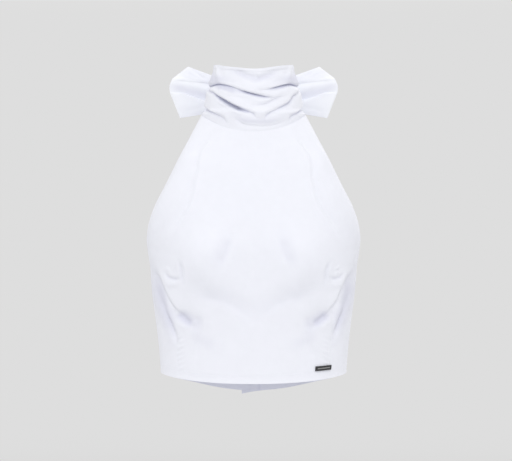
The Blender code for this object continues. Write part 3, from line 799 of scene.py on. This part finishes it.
def add_front(material):
    rows, columns = FRONT_GRID
    angles = np.linspace(-90, 90, columns)
    levels = np.linspace(0, 1, rows)
    base = front_point(angles, levels[:, None])
    normal = normals_of(base)
    x, height = base[..., 0], base[..., 2]
    push, slide = fold_shape(x, height, FRONT_FOLDS, 1)
    push -= crease_depth(x, height, FRONT_CREASES)
    facing = FACING_DEPTH * (1 - ramp(armhole_distance(x, height), FACING_WIDTH, FACING_SOFT))
    facing = facing * ramp(height, UNDERARM, FACING_START)
    dart = bump(np.abs(x) - DART_SIDE, DART_WIDE)
    dart = dart * ramp(height, DART_TOP, -DART_FADE) * ramp(height, DART_LOW, DART_FADE)
    puckers = PUCKER_DEPTH * dart * np.sin(2 * pi * (height + 0.5 * np.abs(x)) / PUCKER_STEP)
    waves = unevenness(x, height, FRONT_WAVES[0]) + unevenness(height, x, FRONT_WAVES[1])
    settled = ramp(np.abs(angles), 90, -SIDE_FADE) * ramp(levels, 1, -NECK_FADE)[:, None]
    push = (push + puckers + waves) * settled + facing
    push = push + HEM_RAISE * bump(height - base[0, :, 2], HEM_WIDE)
    outer = base + push[..., None] * normal
    outer[..., 2] += slide[1]
    # Painted shade in the front's hollows.
    tone = crease_depth(x, height, FRONT_PAINTED_SHADES)
    piece = add_cloth("front_panel", outer, outer - CLOTH_THICK * normal, material, tone=tone)
    dress(piece, "front")
    return piece, [(outer[HEM_ROW, 2:-2], normal[HEM_ROW, 2:-2])]


def back_angle(distance, side_height):
    """Angle round the back at a distance from the centre line."""
    half_width = between(SIDE_ROWS, "half_width", side_height)
    share = np.clip(np.abs(distance) / half_width, 0, 1) ** (SECTION_POWER / 2)
    return np.sign(distance) * np.degrees(np.arcsin(share))


def back_point(angle, level):
    low = between(BACK_HEM_ROWS, "height", angle)
    high = UNDERARM - BACK_TOP_DIP * np.cos(np.radians(angle)) ** 2
    height = low + (high - low) * level
    side_height = SIDE_HEM + (UNDERARM - SIDE_HEM) * level
    half_width = between(SIDE_ROWS, "half_width", side_height)
    depth = between(DEPTH_ROWS, "back", height)
    side, out = section(angle)
    y = SEAM_GAP / 2 + (depth - SEAM_GAP / 2) * out
    return np.stack([half_width * side, y, height], axis=-1)


def add_back(name, node, mirror, edge, material):
    """One back panel. The one whose edge crosses the centre lies on top of the other."""
    rows, columns = BACK_GRID
    on_top = edge < 0
    outer = []
    for level in np.linspace(0, 1, rows):
        start = back_angle(edge, SIDE_HEM + (UNDERARM - SIDE_HEM) * level)
        row = back_point(start + (90 - start) * np.linspace(0, 1, columns), level)
        if on_top:
            ease = np.clip((INNER_EDGE + OVERLAP_EASE - row[:, 0]) / OVERLAP_EASE, 0, 1)
            corner = np.clip((CORNER_START - row[:, 0]) / (CORNER_START - edge), 0, 1)
            row[:, 1] += OVERLAP_LIFT * ease
            row[:, 2] -= CORNER_DROP * (1 - level) * corner**2
        outer.append(row)
    outer = np.array(outer)
    normal = -normals_of(outer)
    x, height = outer[..., 0], outer[..., 2]
    waves = unevenness(x * mirror, height, BACK_WAVES[0]) + unevenness(height, x, BACK_WAVES[1])
    push = ramp(x, *WAVES_START) * ramp(x, *WAVES_STOP) * waves
    shift = DRAG_SHIFT if mirror > 0 else (0, 0)
    drag = crease_depth(x + shift[0], height + shift[1], BACK_CREASES)
    angle = back_angle(x, np.clip(height, SIDE_HEM, UNDERARM))
    push -= drag * ramp(x, *DRAG_START) * ramp(angle, 90, -SIDE_FADE)
    outer = outer + push[..., None] * normal
    # Painted shade on the panel's inside, and on the top panel a painted shadow line where the other panel's
    # edge lies against it.
    tone = INNER_PAINTED_SHADE + (UNDERLAP_PAINTED_SHADOW * bump(x - UNDERLAP_SIDE, UNDERLAP_WIDE) if on_top else 0)
    from_edge = x[PLACKET_ROW] - x[PLACKET_ROW, 0]
    sewn = [np.abs(from_edge - distance).argmin() for distance in PLACKET_SEWN]
    outer, normal = outer * (mirror, 1, 1), normal * (mirror, 1, 1)
    piece = add_cloth(name, outer, outer - CLOTH_THICK * normal, material, inner_painted_shade=tone)
    dress(piece, node)
    runs = [(outer[HEM_ROW], normal[HEM_ROW])]
    runs += [(outer[4:-2, column], normal[4:-2, column]) for column in sewn]
    return piece, runs


def neck_point(angle, height, push):
    turn = np.radians(angle)
    half_width = between(NECK_ROWS, "half_width", height)
    front = between(NECK_ROWS, "front", height)
    back = between(NECK_ROWS, "back", height)
    depth = np.where(np.cos(turn) > 0, front, back)
    x = (half_width + push) * np.sin(turn)
    y = -(depth + push) * np.cos(turn)
    return np.stack(np.broadcast_arrays(x, y, height), axis=-1)


def lowest_near(values, reach):
    """The lowest value within some rows of each place, smoothed over the same rows."""
    for gather in (np.min, np.mean):
        padded = np.pad(values, ((reach, reach), (0, 0)), mode="edge")
        values = gather([padded[i : i + len(values)] for i in range(2 * reach + 1)], axis=0)
    return values


def add_collar(material):
    """The draped band, one shell whose folds overlap, with a smooth inner side."""
    front = np.linspace(-COLLAR_FRONT, COLLAR_FRONT, COLLAR_FRONT_COLUMNS)
    back = np.linspace(COLLAR_FRONT, 360 - COLLAR_FRONT, COLLAR_BACK_COLUMNS + 2)[1:-1]
    angles = np.concatenate([back[back > 180] - 360, front, back[back <= 180]])
    top = between(EDGE_ROWS, "top", angles)
    base = seam_height(angles) - COLLAR_REACH
    height = base + (top - base) * np.linspace(0, 1, COLLAR_ROWS)[:, None]
    turns = angles + 0 * height
    push, slide = fold_shape(ARC * turns, height, FOLDS, ARC)
    push -= crease_depth(turns, height, COLLAR_CREASES, ARC)
    push += unevenness(ARC * turns, height, COLLAR_WAVES[0]) + unevenness(height, turns, COLLAR_WAVES[1])
    from_seam = ramp(height, base, COLLAR_SEAM_FADE)
    from_top = ramp(height, top, -COLLAR_TOP_FADE)
    push = (push * from_top + TURNED_EDGE * bump(top - height - TURNED_DOWN, TURNED_WIDE)) * from_seam
    slide = slide * from_seam * from_top
    low = lowest_near(push, LINING_ROWS) - CLOTH_THICK
    # Painted shade, deeper where the folds press in and along the listed lines.
    tone = COLLAR_PAINTED_SHADE_PER_MM * np.maximum(-push, 0) + crease_depth(turns, height, COLLAR_PAINTED_SHADES, ARC)
    outer = neck_point(turns + slide[0] / ARC, height + slide[1], push)
    inner = neck_point(turns, height, low * np.minimum(1, from_seam + LINING_AT_SEAM) - LINING_EASE)
    piece = add_cloth("collar_band", outer, inner, material, ring=True, tone=tone)
    return dress(piece, "collar")


def add_ribbon(name, node, outer, mirror, material, tone=0):
    """A part of the bow's tie, from its outer side on the right of the picture."""
    side = (mirror, 1, 1)
    inner = outer - CLOTH_THICK * normals_of(outer)
    return dress(add_cloth(name, outer * side, inner * side, material, tone=tone), node)


def add_loop(name, node, mirror, material):
    """A ribbon that runs out from the knot, turns round and comes back behind itself."""
    rows, columns = LOOP_GRID
    turns = np.linspace(0, pi, columns)
    across = np.linspace(0, 1, rows)
    stations = [row.across for row in LOOP_ROWS]
    reach, tip, root = (
        np.interp(across, stations, [getattr(row, column) for row in LOOP_ROWS])[:, None]
        for column in ("reach", "height", "at_knot")
    )
    out = np.sin(turns)
    flat_edge = 1 - LOOP_EDGE_FLAT * np.abs(2 * across - 1)[:, None] ** 3
    thick = LOOP_HALF_THICK * (LOOP_PINCH + (1 - LOOP_PINCH) * out) * flat_edge
    x = LOOP_START + (reach - LOOP_START) * out
    z = root + (tip - root) * out
    push, slide = fold_shape(x, z, LOOP_FOLDS, 1)
    push -= crease_depth(x, z, LOOP_CREASES)
    push += unevenness(x * mirror, z, LOOP_WAVE)
    push = push * ramp(out, LOOP_TIP, -LOOP_FADE) * ramp(out, 0, LOOP_FADE)
    y = LOOP_MID - (thick + push) * np.cos(turns)
    outer = np.stack(np.broadcast_arrays(x, y, z + slide[1] * (1 - out**6)), axis=-1)
    # The loop's painted shade goes in as its tone.
    return add_ribbon(name, node, outer, mirror, material, crease_depth(x, z, LOOP_PAINTED_SHADES))


def add_knot(material):
    """A soft rounded knot with the wrapped cloth's folds running over it."""
    up, around = KNOT_GRID
    power = 2 / KNOT_POWER
    tilt = (-pi / 2 + pi * np.linspace(KNOT_CAP, 1 - KNOT_CAP, up))[:, None]
    turn = 2 * pi * np.arange(around) / around
    ring = np.abs(np.cos(tilt)) ** power
    high = np.sign(np.sin(tilt)) * np.abs(np.sin(tilt)) ** power
    side = np.sign(np.cos(turn)) * np.abs(np.cos(turn)) ** power
    deep = np.sign(np.sin(turn)) * np.abs(np.sin(turn)) ** power
    fold = 1 - KNOT_FOLD * sum(bump(side * ring - at, width) for at, width in KNOT_FOLD_LINES)
    shares = np.stack(np.broadcast_arrays(ring * side, ring * deep * fold, high), axis=-1).reshape(-1, 3)
    points = np.concatenate([shares, [(0, 0, -1), (0, 0, 1)]]) * KNOT_HALF + KNOT_CENTRE
    low, top = len(points) - 2, len(points) - 1
    faces = []
    for column in range(around):
        beside = (column + 1) % around
        faces.append((low, beside, column))
        faces.append((top, (up - 1) * around + column, (up - 1) * around + beside))
        for row in range(up - 1):
            a = row * around
            faces.append((a + column, a + beside, a + around + beside, a + around + column))
    return dress(add_object("bow_knot_wrap", points, faces, material), "bow_knot")


def add_tail(name, node, mirror, material):
    """A hanging ribbon end that widens and waves a little on its way down."""
    rows, columns = TAIL_GRID
    down = np.linspace(1, 0, rows)[:, None]
    across = np.linspace(-1, 1, columns)
    middle, half = (np.interp(down, (0, 1), ends) for ends in (TAIL_SIDE, TAIL_HALF))
    ripple = TAIL_RIPPLE * np.sin(across * pi) * down
    ripple = ripple + TAIL_WAVE * np.sin(across * 9 + 2 * down) * (1 - down) * down * 2
    y = TAIL_DEPTH + TAIL_BACK_SWING * down + ripple
    z = TAIL_TOP - TAIL_LENGTH * down
    outer = np.stack(np.broadcast_arrays(middle + half * across, y, z), axis=-1)
    return add_ribbon(name, node, outer, mirror, material)


def button_thread_runs(box):
    """Two bars of thread in each button's hollow, and the buttonhole's sewn edges beside it."""
    low, high = (METRE * np.array(corner) for corner in box)
    x, z = (low[0] + high[0]) / 2, (low[2] + high[2]) / 2
    face, cloth = high[1] - BUTTON_HOLLOW, low[1] - SEAM_GAP
    out = np.array([[0, 1, 0]] * 2)
    bars = [
        (np.array([[x + side, face, z - BAR_HALF], [x + side, face, z + BAR_HALF]]), out)
        for side in (-BAR_ASIDE, BAR_ASIDE)
    ]
    edges = [
        (np.array([[x - HOLE_HALF, cloth, z + side], [x + HOLE_HALF, cloth, z + side]]), out)
        for side in (-HOLE_ASIDE, HOLE_ASIDE)
    ]
    return bars, edges


def add_plate_line(material):
    """A plain lighter line let into the middle of the bar, following its bend."""
    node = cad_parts["plate"]
    points = np.array([METRE * np.array(vertex.co) for vertex in node.data.vertices])
    middle = points.mean(axis=0)
    _, _, axes = np.linalg.svd(points - middle, full_matrices=False)
    along, up, out = axes
    along = along * np.sign(along[0])
    up = up * np.sign(up[2])
    out = -out * np.sign(out[1])
    places = (points - middle) @ np.stack([along, up, out], axis=-1)
    front = places[places[:, 2] > np.median(places[:, 2])]
    bend = np.polyfit(front[:, 0], front[:, 2], 2)
    across = np.linspace(-0.5, 0.5, LINE_COLUMNS) * LINE_LONG
    lift = np.polyval(bend, across) + LINE_OUT
    outer = np.array([
        [middle + a * along + height * LINE_HIGH * up + b * out for a, b in zip(across, lift)]
        for height in (-0.5, 0.5)
    ])
    return dress(add_cloth("plate_line", outer, outer - LINE_THICK * out, material))


def set_inputs(node, **values):
    for name, value in values.items():
        node.inputs[name].default_value = value
    return node


def start_material(name):
    material = bpy.data.materials.new(name)
    material.use_nodes = True
    tree = material.node_tree
    return material, tree.nodes, tree.links, tree.nodes["Principled BSDF"]


def make_cotton(name, colour):
    """Plain woven cotton: a fine weave and soft unevenness in the bump, matt with a little sheen, with
    painted shade mixed in by the hollow attribute.
    """
    material, nodes, links, shader = start_material(name)
    set_inputs(shader, **COTTON_FINISH)
    place = nodes.new("ShaderNodeUVMap")
    place.uv_map = "weave"
    weave = nodes.new("ShaderNodeMath")
    weave.operation = "MULTIPLY"
    for number, direction in enumerate("XY"):
        wave = set_inputs(nodes.new("ShaderNodeTexWave"), Scale=WEAVE_SCALE, Distortion=0.6, Detail=1)
        wave.bands_direction = direction
        links.new(place.outputs["UV"], wave.inputs["Vector"])
        links.new(wave.outputs["Fac"], weave.inputs[number])
    coords = nodes.new("ShaderNodeTexCoord")
    slubs = set_inputs(nodes.new("ShaderNodeTexNoise"), Scale=SLUB_SCALE, Detail=3)
    links.new(coords.outputs["Object"], slubs.inputs["Vector"])
    fine = set_inputs(nodes.new("ShaderNodeBump"), Strength=0.16, Distance=0.0002)
    links.new(weave.outputs["Value"], fine.inputs["Height"])
    soft = set_inputs(nodes.new("ShaderNodeBump"), Strength=0.12, Distance=0.0012)
    links.new(slubs.outputs["Fac"], soft.inputs["Height"])
    links.new(fine.outputs["Normal"], soft.inputs["Normal"])
    links.new(soft.outputs["Normal"], shader.inputs["Normal"])
    tone = nodes.new("ShaderNodeMix")
    tone.data_type = "RGBA"
    set_inputs(tone, A=(*colour, 1), B=(*(0.965 * part for part in colour), 1))
    links.new(slubs.outputs["Fac"], tone.inputs["Factor"])
    # Painted shade: the hollow attribute mixes the colour toward the shade colour in hollows and on insides.
    hollow = nodes.new("ShaderNodeAttribute")
    hollow.attribute_name = "hollow"
    deep = nodes.new("ShaderNodeMix")
    deep.data_type = "RGBA"
    set_inputs(deep, B=(*PAINTED_SHADE_COLOUR, 1))
    links.new(hollow.outputs["Fac"], deep.inputs["Factor"])
    links.new(tone.outputs["Result"], deep.inputs["A"])
    links.new(deep.outputs["Result"], shader.inputs["Base Color"])
    return material


def make_plain(name):
    """A moulded or metal surface with a fine uneven finish."""
    colour, metallic, roughness, scale = PLAIN[name]
    material, nodes, links, shader = start_material(name)
    set_inputs(shader, Metallic=metallic, **{"Base Color": (*colour, 1)})
    coords = nodes.new("ShaderNodeTexCoord")
    noise = set_inputs(nodes.new("ShaderNodeTexNoise"), Scale=scale)
    links.new(coords.outputs["Object"], noise.inputs["Vector"])
    spread = nodes.new("ShaderNodeMapRange")
    set_inputs(spread, **{"To Min": roughness - FINISH_SPREAD, "To Max": roughness + FINISH_SPREAD})
    links.new(noise.outputs["Fac"], spread.inputs["Value"])
    links.new(spread.outputs["Result"], shader.inputs["Roughness"])
    return material


def make_world():
    """A pale studio: the backdrop's grey at eye level, brighter above and darker below."""
    world = bpy.data.worlds.new("studio")
    world.use_nodes = True
    nodes, links = world.node_tree.nodes, world.node_tree.links
    place = nodes.new("ShaderNodeTexCoord")
    parts = nodes.new("ShaderNodeSeparateXYZ")
    links.new(place.outputs["Generated"], parts.inputs["Vector"])
    rise = set_inputs(nodes.new("ShaderNodeMapRange"), **{"From Min": -1, "From Max": 1})
    links.new(parts.outputs["Z"], rise.inputs["Value"])
    greys = nodes.new("ShaderNodeValToRGB")
    links.new(rise.outputs["Result"], greys.inputs["Fac"])
    stops = greys.color_ramp.elements
    while len(stops) < len(WORLD_STOPS):
        stops.new(0.5)
    for stop, (at, grey) in zip(stops, WORLD_STOPS):
        stop.position = at
        share = float(at > SKY_FROM)
        stop.color = (*(grey * (1 + share * (part - 1)) for part in LIGHT_COLOUR), 1)
    links.new(greys.outputs["Color"], nodes["Background"].inputs["Color"])
    bpy.context.scene.world = world


def make_studio():
    bpy.context.scene.view_settings.view_transform = "Standard"
    make_world()
    mesh = bpy.data.meshes.new("floor")
    work = bmesh.new()
    bmesh.ops.create_circle(work, cap_ends=True, segments=96, radius=FLOOR_RADIUS)
    work.to_mesh(mesh)
    work.free()
    mesh.materials.append(make_plain("floor_paint"))
    floor = link_object("floor", mesh)
    floor.location = (0, 0, FLOOR_HEIGHT)
    for name, place, size, power in LIGHTS:
        light = bpy.data.lights.new(name, "AREA")
        light.size = size
        light.energy = power
        light.color = LIGHT_COLOUR
        lamp = link_object(name, light)
        lamp.location = place
        aim = Vector(LIGHTS_AIM) - Vector(place)
        lamp.rotation_euler = aim.to_track_quat("-Z", "Y").to_euler()


def make_camera():
    data = bpy.data.cameras.new("camera")
    data.sensor_width = SENSOR_WIDTH
    data.lens = CAMERA_LENS
    data.clip_end = CLIP_END
    camera = link_object("camera", data)
    camera.location = CAMERA_PLACE
    camera.rotation_euler = (radians(90), 0, 0)
    bpy.context.scene.camera = camera


def set_material(name, material):
    """Gives a CAD node that stays its better material."""
    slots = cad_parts[name].data.materials
    slots.clear()
    slots.append(material)


def main():
    make_camera()
    make_studio()
    cotton = make_cotton("cotton", COTTON_COLOUR)
    # The bow's cotton is the same cloth painted lighter, to make up for the shade it lies in.
    bow_cotton_painted_lighter = make_cotton("bow_cotton_painted_lighter", BOW_PAINTED_LIGHTER_COLOUR)
    thread = make_plain("thread")
    front, front_runs = add_front(cotton)
    left_back, left_runs = add_back("back_panel_left", "back_left", -1, INNER_EDGE, cotton)
    right_back, right_runs = add_back("back_panel_right", "back_right", 1, OUTER_EDGE, cotton)
    front_sewing = add_stitches("front_hem_stitches", front_runs, STITCH, thread)
    left_sewing = add_stitches("back_stitches_left", left_runs, STITCH, thread)
    right_sewing = add_stitches("back_stitches_right", right_runs, STITCH, thread)
    line = add_plate_line(make_plain("brushed_metal"))
    set_material("plate", make_plain("gunmetal"))
    collar = add_collar(cotton)
    knot = add_knot(bow_cotton_painted_lighter)
    for side, mirror in (("left", -1), ("right", 1)):
        ribbon = add_loop(f"bow_ribbon_{side}", f"bow_loop_{side}", mirror, bow_cotton_painted_lighter)
        end = add_tail(f"bow_end_{side}", f"bow_tail_{side}", mirror, bow_cotton_painted_lighter)
    resin = make_plain("button_resin")
    bars, hole_edges = [], []
    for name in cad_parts:
        if name.startswith("button_"):
            new_bars, new_edges = button_thread_runs(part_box(name))
            bars += new_bars
            hole_edges += new_edges
            set_material(name, resin)
    button_sewing = add_stitches("button_thread", bars, BAR_STITCH, thread)
    hole_sewing = add_stitches("buttonhole_stitches", hole_edges, HOLE_STITCH, thread)


main()
